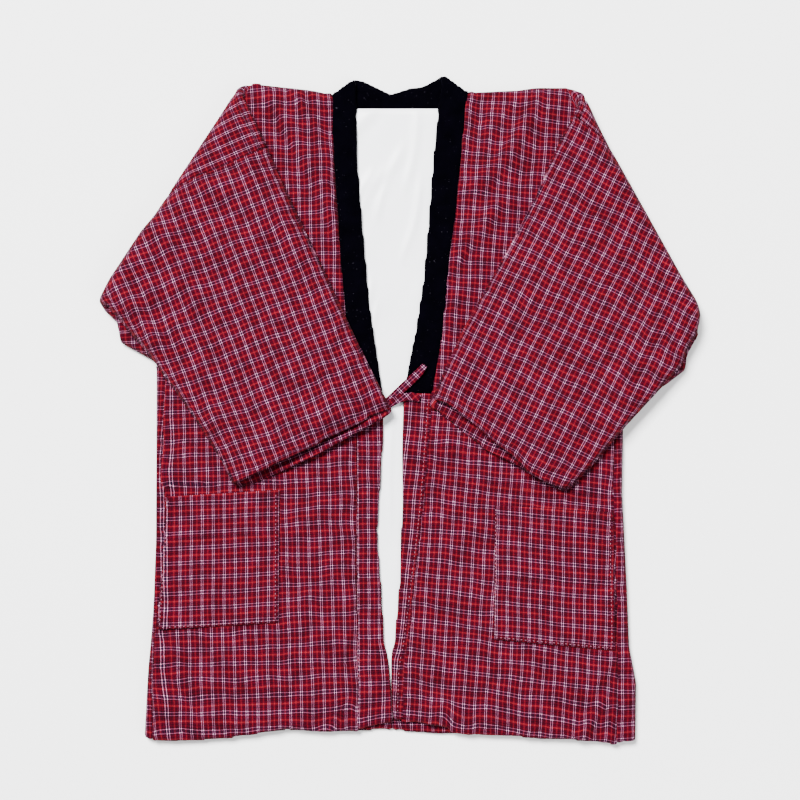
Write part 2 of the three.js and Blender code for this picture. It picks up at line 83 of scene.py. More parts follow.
# %% Lamps and daylight
LAMPS = [
    {"name": "window", "x": -2.6, "y": 3.8, "z": 7.3, "size": 3.05, "watts": 3560},
    {"name": "fill", "x": 1.6, "y": -1.2, "z": 2.2, "size": 2.0, "watts": 60},
]
for row in LAMPS:
    bpy.ops.object.light_add(type="AREA", location=(row["x"], row["y"], row["z"]))
    lamp = bpy.context.object
    lamp.name = row["name"]
    lamp.data.size = row["size"]
    lamp.data.energy = row["watts"]
    lamp.rotation_euler = (-lamp.location).to_track_quat("-Z", "Y").to_euler()
world = bpy.data.worlds.new("daylight")
world.use_nodes = True
world.node_tree.nodes["Background"].inputs["Color"].default_value = (0.96, 0.98, 1.0, 1)
world.node_tree.nodes["Background"].inputs["Strength"].default_value = 0.62
bpy.context.scene.world = world

# %% Floor
bpy.ops.mesh.primitive_plane_add(size=6, location=(0, 0, -0.0003))
floor = bpy.context.object
floor.name = "floor"
paper = bpy.data.materials.new("pale_floor")
paper.use_nodes = True
paper.node_tree.nodes["Principled BSDF"].inputs["Base Color"].default_value = (0.92, 0.92, 0.92, 1)
paper.node_tree.nodes["Principled BSDF"].inputs["Roughness"].default_value = 0.9
floor.data.materials.append(paper)

# %% [markdown]
# ## Flat patterns
#
# A turned-over sleeve is hard to work on, because its layers lie a millimetre apart. Unfolded,
# it is a plain flat tube. So each solid is copied and everything beyond the crease is rolled
# back out, as if the garment were opened on a table. The same two lines of geometry close it
# again at the end. Sizes in this script are millimetres, measured as the solids are.

# %% Helpers to select, copy and read meshes
SHIFT = np.array([1.61, -0.5, 0.0])  # from the frame's origin to that of the patterns


def only(ob):
    if bpy.context.object and bpy.context.object.mode == "EDIT":
        bpy.ops.object.mode_set(mode="OBJECT")
    bpy.ops.object.select_all(action="DESELECT")
    ob.select_set(True)
    bpy.context.view_layer.objects.active = ob


def points(ob):
    flat = np.empty(len(ob.data.vertices) * 3)
    ob.data.vertices.foreach_get("co", flat)
    return flat.reshape(-1, 3) * 1000 + SHIFT


def place(ob, new_points):
    ob.data.vertices.foreach_set("co", ((new_points - SHIFT) / 1000).ravel())
    ob.data.update()


def normals(ob):
    flat = np.empty(len(ob.data.vertices) * 3)
    ob.data.vertices.foreach_get("normal", flat)
    return flat.reshape(-1, 3)


def copy_of(node, name):
    ob = bpy.data.objects.new(name, frame["nodes"][node].data.copy())
    bpy.context.scene.collection.objects.link(ob)
    ob.data.materials.clear()
    only(ob)
    bpy.ops.object.mode_set(mode="EDIT")
    bpy.ops.mesh.select_all(action="SELECT")
    bpy.ops.mesh.remove_doubles(threshold=1e-5)
    bpy.ops.mesh.tris_convert_to_quads()
    bpy.ops.object.mode_set(mode="OBJECT")
    return ob


def finished(ob, kind, name, **settings):
    modifier = ob.modifiers.new(name, kind)
    for key, value in settings.items():
        setattr(modifier, key, value)
    only(ob)
    bpy.ops.object.modifier_apply(modifier=modifier.name)


# %% Fold and unfold over a crease
CREASE = {
    "right": {"x0": -206, "y0": 409, "x1": -381, "y1": 144, "strip": 60},
    "left": {"x0": 231, "y0": 402, "x1": 382, "y1": 131, "strip": 14},
}
FOLD = 16.1  # height of the line that a sleeve turns about


def crease_line(side):
    row = CREASE[side]
    along = np.array([row["x1"] - row["x0"], row["y1"] - row["y0"]], float)
    across = np.array([-along[1], along[0]]) / np.linalg.norm(along)
    across *= SIDES[side] * np.sign(across[0])
    return across, across @ [row["x0"], row["y0"]] - FOLD


def unfolded(p, side, width):
    across, axis = crease_line(side)
    reach = p[:, :2] @ across - axis
    is_over = (p[:, 2] > FOLD) & (reach <= 0) & (reach > -width)
    in_bend = reach > 0
    turn = np.arctan2(reach, FOLD - p[:, 2])
    length = np.where(is_over, np.pi * FOLD - reach, np.where(in_bend, turn * FOLD, reach))
    radius = np.hypot(reach, FOLD - p[:, 2])
    height = np.where(is_over, 2 * FOLD - p[:, 2], np.where(in_bend, FOLD - radius, p[:, 2]))
    return np.column_stack([p[:, :2] + np.outer(length - reach, across), height])


def folded(p, side):
    across, axis = crease_line(side)
    length = p[:, :2] @ across - axis
    turn = np.clip(length / FOLD, 0, np.pi)
    radius = FOLD - p[:, 2]
    beyond = np.maximum(length - np.pi * FOLD, 0)
    reach = np.where(length > 0, radius * np.sin(turn) - beyond, length)
    height = np.where(length > 0, FOLD - radius * np.cos(turn), p[:, 2])
    return np.column_stack([p[:, :2] + np.outer(reach - length, across), height])


# %% [markdown]
# ## Padding the cloth
#
# A padded piece is two layers of cloth with cotton wadding between them, sewn down at its edges.
# It could be sculpted, but a cloth simulation does what the wadding does: the skin is remeshed
# evenly, held at its seams, and blown up a little from inside. Its skin is also made slightly
# too large, so that it buckles into the small uneven dents that a padded jacket has. The
# movement is capped, because a hanten is a flat garment.

# %% Pieces of padded cloth
PADDED = {
    "back_right": {"voxel": 5, "fold": "right", "cap": 1.5, "soft": 2},
    "back_left": {"voxel": 5, "fold": "left", "cap": 1.5, "soft": 2},
    "front_right": {"voxel": 4, "fold": "right", "cap": 3.0, "soft": 2},
    "front_left": {"voxel": 4, "fold": "left", "cap": 3.0, "soft": 2},
    "sleeve_right": {"voxel": 4, "fold": "right", "cap": 3.0, "soft": 2},
    "sleeve_left": {"voxel": 4, "fold": "left", "cap": 3.0, "soft": 2},
    "gusset_right": {"voxel": 3, "fold": None, "cap": 1.2, "soft": 2},
    "gusset_left": {"voxel": 3, "fold": None, "cap": 1.2, "soft": 2},
    "band_right": {"voxel": 3, "fold": None, "cap": 1.5, "soft": 6},
    "band_left": {"voxel": 3, "fold": None, "cap": 1.5, "soft": 6},
    "collar_right": {"voxel": 3, "fold": None, "cap": 1.5, "soft": 10},
    "collar_left": {"voxel": 3, "fold": None, "cap": 1.5, "soft": 10},
    "collar_back": {"voxel": 3, "fold": None, "cap": 1.5, "soft": 10},
}
HOLLOW = {"low": 7.0, "high": 8.6, "opened": 20.0}  # inside of a sleeve, opened up to remesh it


def hollow_opened(p):
    low, high, wide = HOLLOW["low"], HOLLOW["high"], HOLLOW["opened"]
    z = np.interp(p[:, 2], [-50, low, high, 80], [-50, low, wide, 80 + wide - high])
    return np.column_stack([p[:, :2], z])


def hollow_closed(p):
    low, high, wide = HOLLOW["low"], HOLLOW["high"], HOLLOW["opened"]
    z = np.interp(p[:, 2], [-50, low, wide, 80 + wide - high], [-50, low, high, 80])
    return np.column_stack([p[:, :2], z])


def padded_skin(node, row):
    ob = copy_of(node, "padded_" + node)
    is_sleeve = node.startswith("sleeve")
    p = points(ob)
    if row["fold"]:
        p = unfolded(p, row["fold"], 1000 if is_sleeve else CREASE[row["fold"]]["strip"])
    if is_sleeve:
        p = hollow_opened(p)
    place(ob, p)
    form = ob.copy()
    form.data = ob.data.copy()
    bpy.context.scene.collection.objects.link(form)
    finished(ob, "REMESH", "even skin", mode="VOXEL", voxel_size=row["voxel"] / 1000)
    finished(ob, "SHRINKWRAP", "on the pattern", target=form)
    finished(ob, "SMOOTH", "soft edges", factor=0.5, iterations=row["soft"])
    bpy.data.objects.remove(form)
    if is_sleeve:
        place(ob, hollow_closed(points(ob)))
    bpy.ops.object.shade_smooth()
    return ob


skins = {node: padded_skin(node, row) for node, row in PADDED.items()}
flat_normals = {node: normals(ob) for node, ob in skins.items()}
print("padded pieces:", {node: len(ob.data.polygons) for node, ob in skins.items()})

# %% [markdown]
# ## Sewing the pieces together
#
# Rounded edges leave open gaps between the pieces, and thread would have pulled them shut. So
# every point is told how far it is from the nearest edge of another piece. Where that is near,
# there is a seam, and both edges are pushed into each other until only a shallow groove is left.
# The same distance is used again later, for the puckers that a seam makes in padded cloth.

# %% Distance to the next piece, and edges pushed together
RIM = 0.6  # a point is on an edge when its normal leans more than this
EDGE_PUSH = {"free": 0.8, "sewn": 2.6}
SEWN_WITHIN = 11  # a gap narrower than this is a seam


def seam_distance(node):
    others = [points(skins[n])[np.abs(flat_normals[n][:, 2]) < RIM] for n in skins if n != node]
    others = np.vstack(others)
    tree = KDTree(len(others))
    for number, spot in enumerate(others):
        tree.insert(spot, number)
    tree.balance()
    return np.array([tree.find(spot)[2] for spot in points(skins[node])])


def smooth(t):
    t = np.clip(t, 0, 1)
    return t * t * (3 - 2 * t)


to_seam = {node: seam_distance(node) for node in skins}
for node, ob in skins.items():
    is_sewn = smooth((SEWN_WITHIN - to_seam[node]) / 5)
    push = EDGE_PUSH["free"] + (EDGE_PUSH["sewn"] - EDGE_PUSH["free"]) * is_sewn
    p = points(ob)
    p[:, :2] += flat_normals[node][:, :2] * push[:, None]
    place(ob, p)
flat_points = {node: points(ob) for node, ob in skins.items()}

# %% Blow the padding up
SWELL_FRAMES = 20


def add_padding(node, ob):
    seam = ob.vertex_groups.new(name="seam")
    at_edge = np.nonzero(np.abs(flat_normals[node][:, 2]) < 0.8)[0]
    seam.add(at_edge.tolist(), 1.0, "REPLACE")
    cloth = ob.modifiers.new("padding", "CLOTH")
    cloth.settings.vertex_group_mass = "seam"
    cloth.settings.use_pressure = True
    cloth.settings.uniform_pressure_force = 4
    cloth.settings.shrink_min = -0.03  # negative: the skin is cut too large
    cloth.settings.quality = 3
    cloth.settings.effector_weights.gravity = 0
    cloth.point_cache.frame_start = 1
    cloth.point_cache.frame_end = SWELL_FRAMES


def blown_up(node, ob):
    view = ob.evaluated_get(bpy.context.evaluated_depsgraph_get())
    flat = np.empty(len(view.data.vertices) * 3)
    view.data.vertices.foreach_get("co", flat)
    p = flat.reshape(-1, 3) * 1000 + SHIFT
    move = p - flat_points[node]
    length = np.linalg.norm(move, axis=1, keepdims=True)
    cap = PADDED[node]["cap"]
    return flat_points[node] + move * (cap * np.tanh(length / cap) / np.maximum(length, 1e-6))


swollen = dict(flat_points)
for node, ob in skins.items():
    add_padding(node, ob)
for number in range(1, SWELL_FRAMES + 1):
    bpy.context.scene.frame_set(number)
swollen = {node: blown_up(node, ob) for node, ob in skins.items()}
for ob in skins.values():
    ob.modifiers.clear()
bpy.context.scene.frame_set(1)
for node in skins:
    print(node, "swells by", round(float(np.abs(swollen[node] - flat_points[node]).max()), 2), "mm")

# %% [markdown]
# ## Folds, listed one by one
#
# Simulated dents are all alike, while the real jacket has a few folds of its own: soft ridges
# that run from the neck over both shoulders, dents above the pockets and curled corners at the
# hem. Each is a row in a table: two ends, how far it bows, its width and its height. A negative
# height is a trough, and a row without a bow is straight. They are added only to cloth that faces
# up and isn't under another layer.

# %% Table of folds
def fold(x0, y0, x1, y1, width, high, bow=0):
    return {"x0": x0, "y0": y0, "x1": x1, "y1": y1, "width": width, "high": high, "bow": bow}


FOLDS = {
    "front_right": [
        fold(-175, 381, -112, 258, bow=4, width=9, high=-3.5),
        fold(-163, 391, -99, 267, bow=4, width=10, high=4),
        fold(-137, 406, -89, 315, bow=3, width=8, high=3.5),
        fold(-145, 366, -102, 277, width=6, high=-2),
        fold(-121, 404, -112, 353, width=5, high=-2.5),
        fold(-104, 328, -85, 213, bow=3, width=8, high=2.5),
        fold(-95, 245, -79, 150, width=6, high=-2),
        fold(-146, -320, -64, -295, bow=5, width=13, high=1.5),
        fold(-216, -358, -89, -330, bow=-4, width=11, high=-1.5),
        fold(-305, -399, -216, -390, width=10, high=2),
        fold(-279, -377, -127, -371, bow=4, width=10, high=-1.2),
        fold(-104, -403, -61, -371, width=9, high=2.5),
        fold(-83, -415, -70, -377, width=6, high=-2),
        fold(-298, -105, -150, -96, width=7, high=-3.6),
        fold(-296, -93, -152, -85, width=7, high=2.2),
        fold(-140, -142, -64, -117, bow=3, width=10, high=1.4),
        fold(-127, -244, -70, -206, width=11, high=1.2),
        fold(-292, -307, -254, -358, width=10, high=1.6),
    ],
    "front_left": [
        fold(178, 394, 91, 271, bow=8, width=10, high=5),
        fold(152, 385, 117, 318, width=8, high=-3),
        fold(102, 398, 103, 334, width=6, high=-3),
        fold(84, 394, 80, 328, width=8, high=3),
        fold(127, 264, 71, 185, width=9, high=3),
        fold(190, 353, 152, 277, width=9, high=-3),
        fold(99, 232, 70, 150, bow=3, width=8, high=-2),
        fold(70, 137, 57, 80, width=8, high=2),
        fold(51, -41, 178, -69, bow=5, width=11, high=3.5),
        fold(51, -69, 152, -79, width=9, high=-2),
        fold(114, -107, 262, -118, width=7, high=-4.4),
        fold(118, -94, 250, -103, width=6, high=2.6),
        fold(203, -72, 269, -60, width=10, high=3),
        fold(38, -142, 102, -161, width=10, high=1.5),
        fold(38, -244, 127, -276, width=10, high=-1.5),
        fold(51, -295, 203, -314, bow=4, width=13, high=1.5),
        fold(231, -419, 259, -358, bow=3, width=9, high=1.8),
        fold(244, -417, 269, -364, width=6, high=-1.6),
        fold(259, -419, 276, -371, width=6, high=1.4),
        fold(216, -419, 241, -371, width=6, high=-1.0),
        fold(32, -415, 64, -371, width=8, high=2.5),
        fold(46, -415, 89, -386, width=8, high=-2),
    ],
    "sleeve_right": [
        fold(-318, 251, -254, 99, bow=6, width=18, high=1.5),
        fold(-279, 137, -165, -53, bow=8, width=15, high=-1.5),
        fold(-343, 137, -305, 80, width=9, high=2.5),
        fold(-330, 150, -282, 71, width=8, high=-2),
        fold(-188, -74, -30, -1, bow=3, width=6, high=-1.8),
        fold(-235, 353, -127, 188, bow=5, width=15, high=1.4),
        fold(-190, 290, -89, 99, bow=-5, width=13, high=-1.2),
        fold(-127, 99, -64, -15, width=11, high=1.4),
        fold(-254, 36, -203, -66, width=10, high=1.4),
    ],
    "sleeve_left": [
        fold(305, 99, 203, -15, bow=-5, width=15, high=-1.5),
        fold(324, 137, 279, 10, bow=4, width=11, high=2),
        fold(340, 99, 305, 29, width=8, high=-2),
        fold(89, 99, 152, 74, bow=3, width=10, high=2),
        fold(64, 74, 152, 36, width=10, high=-1.5),
        fold(58, 0, 190, -86, bow=3, width=6, high=-1.8),
        fold(254, 302, 152, 99, bow=6, width=17, high=1.4),
        fold(305, 239, 254, 99, bow=4, width=13, high=-1.2),
        fold(127, 36, 178, -41, width=10, high=1.4),
        fold(203, 36, 254, -41, width=10, high=1.2),
    ],
}


def fold_height(rows, x, y):
    total = np.zeros_like(x)
    for row in rows:
        run = np.array([row["x1"] - row["x0"], row["y1"] - row["y0"]], float)
        length = np.linalg.norm(run)
        run /= length
        along = ((x - row["x0"]) * run[0] + (y - row["y0"]) * run[1]) / length
        across = (y - row["y0"]) * run[0] - (x - row["x0"]) * run[1]
        across = across - row["bow"] * np.sin(np.pi * np.clip(along, 0, 1))
        width = row["width"] * (0.8 + 0.4 * np.clip(along, 0, 1))
        ends = smooth((along + 0.15) / 0.35) * smooth((1.15 - along) / 0.35)
        total += row["high"] * ends * np.exp(-((across / width) ** 2))
    return total


# %% Small unevenness of wadding and cloth
def uneven(x, y, seed, size, count=14):
    chance = np.random.RandomState(seed)
    total = np.zeros_like(x)
    for _ in range(count):
        turn, phase = chance.uniform(0, 2 * np.pi, 2)
        wave = size * chance.uniform(0.6, 1.8)
        total += np.sin((x * np.cos(turn) + y * np.sin(turn)) * 2 * np.pi / wave + phase)
    return total / np.sqrt(count)


# %% [markdown]
# ## Where a layer is covered
#
# The fronts lie under the turned-over sleeves, and the backs under the fronts. Cloth that is
# pressed like that stays flat, and no layer may come through the next. So each piece gets a
# mask from 0, pressed, to 1, free, and both the padding and the folds are scaled by it.

# %% Masks
SLEEVE_TOP = 27  # only the upper wall of a turned-over sleeve lies above this
CUFF = {
    "right": {"tip": (-13, 8), "corner": (-215, -104), "armpit": (-307, 53)},
    "left": {"tip": (37, 8), "corner": (207, -106), "armpit": (284, -27)},
}


def clear_of_sleeve(side, x, y):
    top = (CREASE[side]["x0"], CREASE[side]["y0"])
    corners = [top, CUFF[side]["tip"], CUFF[side]["corner"], CUFF[side]["armpit"]]

    def beyond(a, b):
        run = np.array(b, float) - a
        return SIDES[side] * ((x - a[0]) * run[1] - (y - a[1]) * run[0]) / np.linalg.norm(run)

    clear = np.max([beyond(a, b) for a, b in zip(corners, corners[1:])], axis=0)
    return smooth((clear - 4) / 26)


def free_part(node, rest, up):
    kind, side = node.split("_")[0], node.split("_")[-1]
    x, y, z = rest.T
    faces_up = up > 0.05
    if kind == "front":
        return np.where(faces_up, clear_of_sleeve(side, x, y), 0)
    if kind == "sleeve":
        return np.where((z > SLEEVE_TOP) & faces_up, 1.0, 0)
    if kind == "back":
        return np.zeros(len(x))
    return np.where(faces_up, 1.0, 0)


# %% [markdown]
# ## The check runs with the thread
#
# The cloth is a small check of red, navy and pinkish white, and its lines show the grain of
# every piece: down the body, along each sleeve, along the front band. A pattern projected from
# above would run straight over all the seams and look printed. So each piece stores where every
# point lay on the flat pattern, turned to its own grain, as a UV map in metres.

# %% Grain of each piece
GRAIN = {
    "back_right": {"x": -160, "y": 0, "turn": 0.0, "lean": 0.0},
    "back_left": {"x": 140, "y": 0, "turn": 0.0, "lean": 0.0},
    "front_right": {"x": -135, "y": 0, "turn": -1.6, "lean": -0.4},
    "front_left": {"x": 147.5, "y": 0, "turn": 3.8, "lean": 2.7},
    "sleeve_right": {"x": -500, "y": 427, "turn": 87.6, "lean": 0.0},
    "sleeve_left": {"x": 475, "y": 386, "turn": 95.2, "lean": 0.0},
    "gusset_right": {"x": -309, "y": 0, "turn": 0.0, "lean": 0.0},
    "gusset_left": {"x": 283, "y": 0, "turn": 0.0, "lean": 0.0},
    "band_right": {"x": -40, "y": -190, "turn": -0.5, "lean": 0.0},
    "band_left": {"x": 12, "y": -190, "turn": 5.0, "lean": 0.0},
    "pocket_right": {"x": -223, "y": -190, "turn": 0.0, "lean": -3.0},
    "pocket_left": {"x": 193, "y": -210, "turn": 1.0, "lean": 4.5},
    "tie_right": {"x": 0, "y": 22.2, "turn": -44.0, "lean": 0.0},
    "tie_left": {"x": -2, "y": 8, "turn": -40.0, "lean": 0.0},
}


CREEP = 0.000115  # the check creeps together towards the shoulders


def lay_check(ob, node, flat, lift):
    row = GRAIN[node]
    turn, lean = np.radians([row["turn"], row["turn"] + row["lean"]])
    x, y = flat[:, 0] - row["x"], flat[:, 1] - row["y"]
    if abs(row["turn"]) < 30:
        y = y + flat[:, 1] * flat[:, 1] * CREEP
    across = x * np.cos(turn) - y * np.sin(turn) + 0.35 * uneven(flat[:, 0], flat[:, 1], 5, 70)
    along = y * np.cos(lean) + x * np.sin(lean) + 0.45 * uneven(flat[:, 0], flat[:, 1], 9, 90)
    spot = np.column_stack([across, along - lift])
    cut = ob.data.uv_layers.new(name="cut")
    corners = np.empty(len(ob.data.loops), int)
    ob.data.loops.foreach_get("vertex_index", corners)
    cut.data.foreach_set("uv", (spot[corners] / 1000).ravel())


# %% [markdown]
# ## Tugged into place
#
# Whoever laid this jacket out smoothed it and tugged at its edges, so no outline is quite straight.
# The tugs are rows like those of the folds, but what they give is a shift to the side or along.
# They act on all layers at once, so no seam opens.

# %% Tugs
TUG_ACROSS = [
    fold(-309, 48, -322, -425, width=26, high=-1.6),
    fold(-297, 0, -303, -420, width=9, high=-8.0),
    fold(241, 385, 385, 125, width=30, high=-3.6),
    fold(384, 130, 366, 58, width=26, high=-5.5),
    fold(-379, 150, -317, 235, width=22, high=-2.6),
    fold(49, 378, 12, 40, bow=-5, width=17, high=-4.2),
    fold(4, 0, -5, -380, width=14, high=-3.2),
    fold(-25, -160, -16, -330, width=10, high=-1.6),
    fold(-22, -306, -18, -410, width=10, high=5.2),
    fold(-1, -306, -3, -400, width=8, high=-3.7),
]
TUG_ALONG = [
    fold(-95, 402, 62, 408, width=40, high=3.0),
    fold(-215, 404, -95, 400, width=24, high=5.0),
    fold(160, 400, 246, 395, width=22, high=3.4),
    fold(241, 385, 385, 125, width=30, high=-2.0),
    fold(-379, 150, -317, 235, width=22, high=2.0),
    fold(-20, -414, 310, -424, width=30, high=-2.0),
    fold(-330, -420, -170, -416, width=30, high=-1.4),
]
HEM_DROP = [
    fold(-335, -408, -18, -404, width=26, high=-5.4),
    fold(62, -408, 325, -414, width=26, high=-4.6),
    fold(-130, -408, -30, -404, width=26, high=-4.5),
    fold(62, -408, 95, -409, width=26, high=-4.0),
]


def tugged(p):
    x, y, z = p.T
    return np.column_stack([x + fold_height(TUG_ACROSS, x, y), y + fold_height(TUG_ALONG, x, y), z])


# %% [markdown]
# ## Mouths of the sleeves
#
# Seen from above, a padded sleeve ends in two thick lips. The lower one reaches further out and
# its roll comes up against the upper one, except where the mouth gapes. Each lip has a row of
# positions from the tip at the middle of the jacket, 0, to the outer corner, 1.

# %% Lips
LIPS = {
    "right": {
        "place": [-0.1, 0.0, 0.1, 0.3, 0.5, 0.7, 0.8, 0.9, 1.0, 1.1],
        "upper": [3, 3, 0, 0, 0, 0, -1, -1, 0, 0],
        "lower": [7, 7, 6, 4, 4, 5, 6, 6, 2, 0],
        "shut": [1, 1, 1, 1, 1, 0.5, 0, 0, 1, 1],
    },
    "left": {
        "place": [-0.1, 0.0, 0.04, 0.09, 0.3, 0.45, 0.6, 0.73, 0.85, 1.0, 1.1],
        "upper": [4, 0, -3, -6, -4, 0, 2, 9, 7, 1, 0],
        "lower": [11, 10, 9, 7, 6, 7, 3, 1, 3, 3, 0],
        "shut": [1, 1, 0.8, 0, 0, 0.7, 1, 1, 1, 1, 1],
    },
}


LIP_SHAPE = {
    "deep": 34,  # how far in from the mouth its cloth is drawn out
    "upper_from": 23.2,  # height that parts the lower lip from the upper one
    "lower_rise": 6.5,
    "upper_sink": 3.2,
    "upper_gape": 2.5,
    "lower_gape": 4.5,
}


def lipped(p, side):
    tip, corner = np.array(CUFF[side]["tip"], float), np.array(CUFF[side]["corner"], float)
    run = corner - tip
    length = np.linalg.norm(run)
    run /= length
    outward = np.array([-run[1], run[0]]) * -SIDES[side]
    outward *= -np.sign(outward[1])
    along = (p[:, :2] - tip) @ run / length
    inside = -(p[:, :2] - tip) @ outward
    row = LIPS[side]
    keys = ("upper", "lower", "shut")
    upper, lower, shut = [np.interp(along, row["place"], row[key]) for key in keys]
    is_upper = smooth((p[:, 2] - LIP_SHAPE["upper_from"]) / 2.4)
    is_lower = 1 - is_upper
    turned = p[:, 2] > FOLD
    near = smooth((LIP_SHAPE["deep"] - inside) / LIP_SHAPE["deep"])
    reach = turned * near * (is_upper * upper + is_lower * lower)
    new = p.copy()
    new[:, :2] += reach[:, None] * outward
    rise = is_lower * LIP_SHAPE["lower_rise"] * smooth((4 - inside) / 12)
    rise -= is_upper * LIP_SHAPE["upper_sink"] * smooth((9 - inside) / 12)
    gape = is_upper * LIP_SHAPE["upper_gape"]
    gape -= is_lower * LIP_SHAPE["lower_gape"] * smooth((p[:, 2] - 18) / 4)
    new[:, 2] += turned * (shut * rise + (1 - shut) * gape * smooth((16 - inside) / 16))
    return new


UNEVEN = {"front": 0.7, "sleeve": 0.7, "back": 0.0, "gusset": 0.35, "band": 0.3, "collar": 0.3}
PUCKER = {"front": 0.8, "sleeve": 0.5, "back": 0.0, "gusset": 0.4, "band": 0.5, "collar": 0.3}
FRONT_TOP = 15.6  # upper face of the fronts


def shaped(node, ob):
    kind = node.split("_")[0]
    side = PADDED[node]["fold"]
    close = (lambda p: folded(p, side)) if side else (lambda p: p)
    rest = close(flat_points[node])
    place(ob, rest)
    up = normals(ob)[:, 2]
    free = free_part(node, rest, up)
    swell = close(swollen[node]) - rest
    x, y = rest[:, 0], rest[:, 1]
    lift = fold_height(FOLDS.get(node, []), x, y) + UNEVEN[kind] * uneven(x, y, 21, 45)
    seam = np.exp(-((to_seam[node] / 8) ** 2))
    lift += PUCKER[kind] * seam * (uneven(x, y, 77, 13) - 0.6)
    lift *= free * smooth(up / 0.6)
    new = rest + swell * free[:, None]
    new[:, 2] += lift
    if kind == "back":
        new[:, 2] = np.maximum(new[:, 2], 0)
    place(ob, new)
    flat = flat_points[node]
    edge = flat_normals[node]
    flat = flat[:, :2] + edge[:, :2] * (FRONT_TOP - flat[:, 2:]) * 0.5
    if node in GRAIN:
        lay_check(ob, node, flat, np.clip(lift, -1.5, 3) * 1.25)
    return lift


for node, ob in skins.items():
    lift = shaped(node, ob)
    p = points(ob)
    if node.startswith("sleeve"):
        p = lipped(p, PADDED[node]["fold"])
    p = tugged(p)
    if node.startswith("front") or node == "band_right":
        p[:, 1] += fold_height(HEM_DROP, p[:, 0], p[:, 1])
    place(ob, p)
    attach(ob, "root")
    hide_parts(node)
    print(node, "folds from", round(float(lift.min()), 1), "to", round(float(lift.max()), 1), "mm")

# %% [markdown]
# ## Pockets, ties and lining
#
# These are thin, so nothing in them is padded. Each starts as its solid, cut finely in edit
# mode. A pocket is sewn on a front that is no longer flat: a ray is sent down on the front
# from above every point, and the pocket's cloth is put on what it hits.

# %% Height of the cloth below a point
def skin_tree(ob):
    co = (points(ob) - SHIFT) / 1000
    faces = [tuple(face.vertices) for face in ob.data.polygons]
    return BVHTree.FromPolygons(co.tolist(), faces)


def height_on(trees, x, y, missing):
    heights = []
    for px, py in zip(x, y):
        start = ((px - SHIFT[0]) / 1000, (py - SHIFT[1]) / 1000, 0.2)
        hits = [tree.ray_cast(start, (0, 0, -1))[0] for tree in trees]
        found = [hit.z * 1000 for hit in hits if hit is not None]
        heights.append(max(found) if found else missing)
    return np.array(heights)


def subdivided(ob, cuts):
    only(ob)
    bpy.ops.object.mode_set(mode="EDIT")
    bpy.ops.mesh.select_all(action="SELECT")
    bpy.ops.mesh.subdivide(number_cuts=cuts)
    bpy.ops.object.mode_set(mode="OBJECT")


def cut_finely(node, cuts):
    ob = copy_of(node, node + "_cloth")
    subdivided(ob, cuts)
    bpy.ops.object.shade_smooth()
    return ob


# %% Pockets
POCKET_HEM = {"right": 14, "left": 13}  # how deep the hem at its top is
POCKET_UNDER = 15.9
POCKET_THICK = 2.5
POCKET_CORNERS = {
    "right": {
        "out_top": (-293, -112),
        "in_top": (-155, -103),
        "out_low": (-300, -281),
        "in_low": (-156, -272),
    },
    "left": {
        "out_top": (269, -132),
        "in_top": (119, -123),
        "out_low": (272, -308),
        "in_low": (118, -293),
    },
}
POCKET_FOLDS = {
    "right": [
        fold(-302, -170, -157, -165, width=3, high=-1.8),
        fold(-302, -163, -157, -158, bow=1, width=4, high=1.8),
        fold(-290, -215, -200, -205, bow=3, width=10, high=0.8),
        fold(-250, -262, -165, -250, bow=-3, width=9, high=0.7),
    ],
    "left": [
        fold(120, -218, 272, -228, width=3.5, high=-2.0),
        fold(120, -210, 272, -220, bow=1, width=5, high=2.0),
        fold(140, -150, 240, -160, bow=3, width=9, high=0.8),
        fold(130, -270, 230, -285, bow=-3, width=10, high=0.9),
    ],
}


def edge_distance(x, y, a, b):
    run = np.array(b, float) - a
    length = np.linalg.norm(run)
    along = np.clip(((x - a[0]) * run[0] + (y - a[1]) * run[1]) / length**2, 0, 1)
    return np.hypot(x - a[0] - along * run[0], y - a[1] - along * run[1])


def pocket(side):
    node = "pocket_" + side
    ob = cut_finely(node, 7)
    p = points(ob)
    x, y, z = p.T
    corners = POCKET_CORNERS[side]
    top = edge_distance(x, y, corners["out_top"], corners["in_top"])
    sides = np.minimum(
        edge_distance(x, y, corners["out_top"], corners["out_low"]),
        edge_distance(x, y, corners["in_top"], corners["in_low"]),
    )
    sides = np.minimum(sides, edge_distance(x, y, corners["out_low"], corners["in_low"]))
    lift = fold_height(POCKET_FOLDS[side], x, y) + 0.35 * uneven(x, y, 33, 40)
    lift *= smooth(sides / 12)
    lift += 0.7 * smooth((7 - sides) / 3) - 0.6 * np.exp(-(((sides - 6) / 1.4) ** 2))
    lift += 0.8 * smooth((POCKET_HEM[side] - top) / 3)
    lift -= 0.9 * np.exp(-(((top - POCKET_HEM[side]) / 1.6) ** 2))
    below = height_on([trees["front_" + side]], x, y, FRONT_TOP)
    thickness = (z - POCKET_UNDER) / POCKET_THICK
    outline = points(frame["nodes"][node])
    z = below + 0.4 + (z - POCKET_UNDER) + np.clip(thickness, 0, 1) * lift
    place(ob, tugged(np.column_stack([x, y, np.maximum(z, below + 0.2)])))
    lay_check(ob, node, p, lift * 0.5)
    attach(ob, "root")
    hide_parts(node)
    return ob


trees = {node: skin_tree(ob) for node, ob in skins.items()}
pockets = {side: pocket(side) for side in SIDES}
print("pockets:", [len(ob.data.polygons) for ob in pockets.values()])

# %% Ties
TIE_THICK = 2.4
TIE_STIFF = 9  # what lies within this distance is lifted with it
TIE_TURN = {"right": {"x": 0, "y": 0, "turn": 0}, "left": {"x": 16, "y": 12, "turn": -24}}


